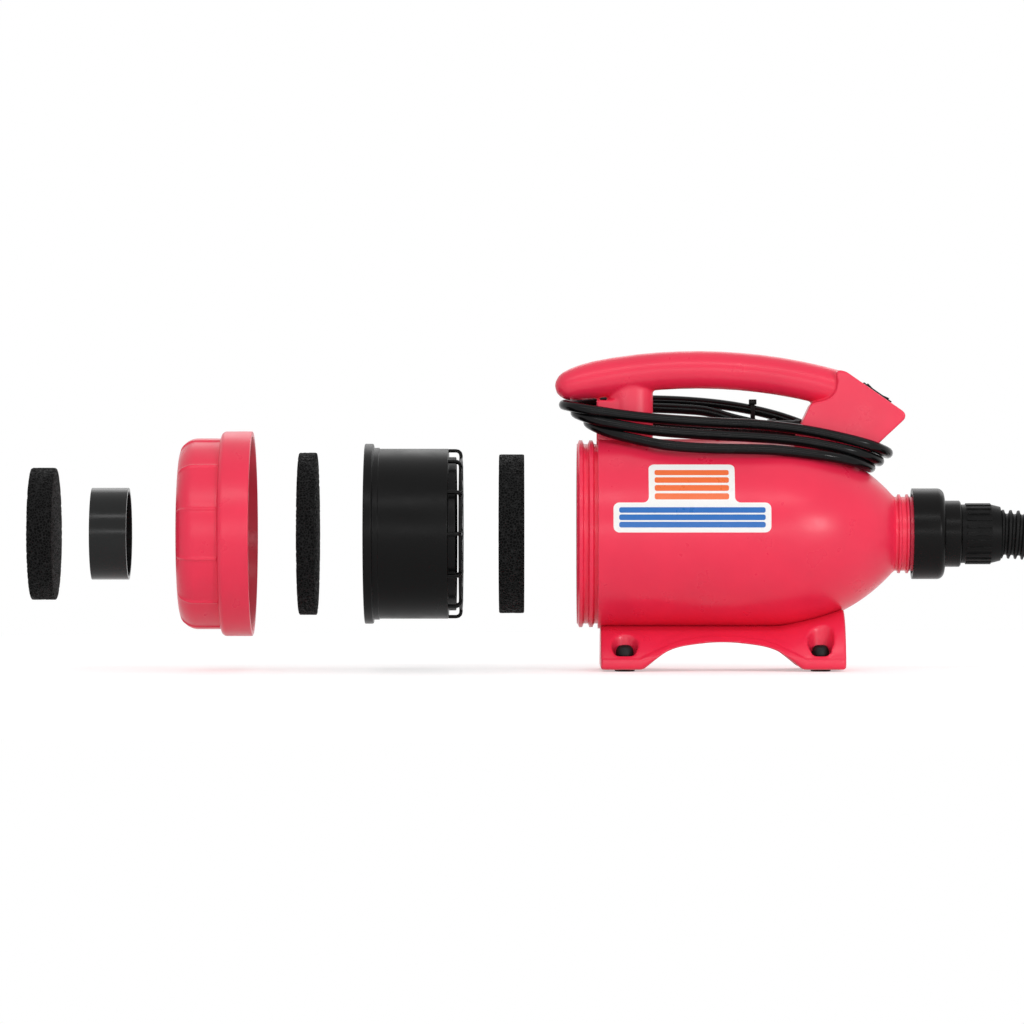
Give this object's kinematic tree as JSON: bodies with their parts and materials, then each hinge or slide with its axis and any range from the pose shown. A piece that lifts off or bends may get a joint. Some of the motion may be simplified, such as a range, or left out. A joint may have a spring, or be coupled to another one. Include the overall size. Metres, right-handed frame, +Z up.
{
  "type": "pet dryer",
  "caption": "Canister pet dryer with arched handle, wound power cord and hose, its rear cap, filter basket and foam discs set out along the air axis.",
  "frame": {"origin": "on the floor midway between the four rubber feet", "axes": "+X along the air flow from the filters to the hose, +Z up, +Y to the side the picture doesn't show"},
  "size_m": [1.2554, 0.3969, 0.2742],
  "materials": {
    "shell": "semi-gloss coral pink",
    "shell_dark": "satin black",
    "switch": "satin black",
    "cord_skin": "matt black",
    "rubber": "matt black",
    "basket_black": "satin black",
    "ring_black": "satin dark grey",
    "hose_skin": "matt black",
    "foam": "open black foam",
    "steel": "bright",
    "zinc": "zinc plated",
    "alloy": "die cast",
    "copper": "enamelled wire",
    "brass": "plain",
    "carbon": "carbon block",
    "wire": "insulated lead"
  },
  "bodies": {
    "dryer": {"body_shell": "shell", "base": "shell", "handle_right": "shell", "handle_left": "shell", "base_screws": "zinc", "handle_screws": "zinc", "plate_screws": "zinc", "rubber_feet": "rubber", "switch_body": "switch", "strain_relief": "rubber", "cord_coil": "cord_skin", "cord_lead": "cord_skin", "cord_tail": "cord_skin", "plug_body": "cord_skin", "plug_blades": "brass", "motor_plate": "alloy", "motor_gasket": "rubber", "fan_cover": "alloy", "diffuser": "carbon", "motor_frame": "alloy", "field_core": "steel", "field_coils": "copper", "bearings": "steel", "brushes": "carbon", "brush_holders": "brass", "front_boot": "rubber", "front_mount": "basket_black", "lead_wires": "wire", "collar_gasket": "rubber", "hose": "hose_skin", "hose_end_cuff": "shell_dark", "nozzle": "shell_dark"},
    "rotor": {"impeller": "alloy", "impeller_nut": "steel", "armature_core": "steel", "armature_windings": "copper", "commutator": "brass", "shaft": "steel"},
    "rocker": {"rocker": "switch"},
    "collar": {"collar": "shell_dark"},
    "cuff": {"hose_cuff": "shell_dark"},
    "motor_foam": {"motor_foam": "foam"},
    "basket": {"filter_basket": "basket_black"},
    "basket_foam": {"basket_foam": "foam"},
    "cap": {"rear_cap": "shell"},
    "ring": {"port_ring": "ring_black"},
    "inlet_foam": {"inlet_foam": "foam"}
  },
  "joints": [
    {"name": "rotor_spin", "type": "hinge", "parent": "dryer", "child": "rotor", "pos_m": [0, 0, 0.117], "axis": [1, 0, 0], "continuous": true},
    {"name": "rocker_tilt", "type": "hinge", "parent": "dryer", "child": "rocker", "pos_m": [0.13141, 0, 0.23429], "axis": [0, 1, 0], "range_deg": [-12, 12]},
    {"name": "collar_turn", "type": "hinge", "parent": "dryer", "child": "collar", "pos_m": [0.18, 0, 0.117], "axis": [1, 0, 0], "range_deg": [0, 180]},
    {"name": "cuff_swivel", "type": "hinge", "parent": "collar", "child": "cuff", "pos_m": [0.2, 0, 0.117], "axis": [1, 0, 0], "continuous": true},
    {"name": "motor_foam_slide", "type": "slide", "parent": "dryer", "child": "motor_foam", "axis": [1, 0, 0], "range_m": [0, 0.145]},
    {"name": "basket_slide", "type": "slide", "parent": "motor_foam", "child": "basket", "axis": [1, 0, 0], "range_m": [0, 0.029]},
    {"name": "basket_foam_slide", "type": "slide", "parent": "basket", "child": "basket_foam", "axis": [1, 0, 0], "range_m": [0, 0.0745]},
    {"name": "cap_slide", "type": "slide", "parent": "basket_foam", "child": "cap", "axis": [1, 0, 0], "range_m": [0, 0.0465]},
    {"name": "ring_slide", "type": "slide", "parent": "cap", "child": "ring", "axis": [1, 0, 0], "range_m": [0, 0.097]},
    {"name": "inlet_foam_slide", "type": "slide", "parent": "ring", "child": "inlet_foam", "axis": [1, 0, 0], "range_m": [0, 0.0287]}
  ]
}
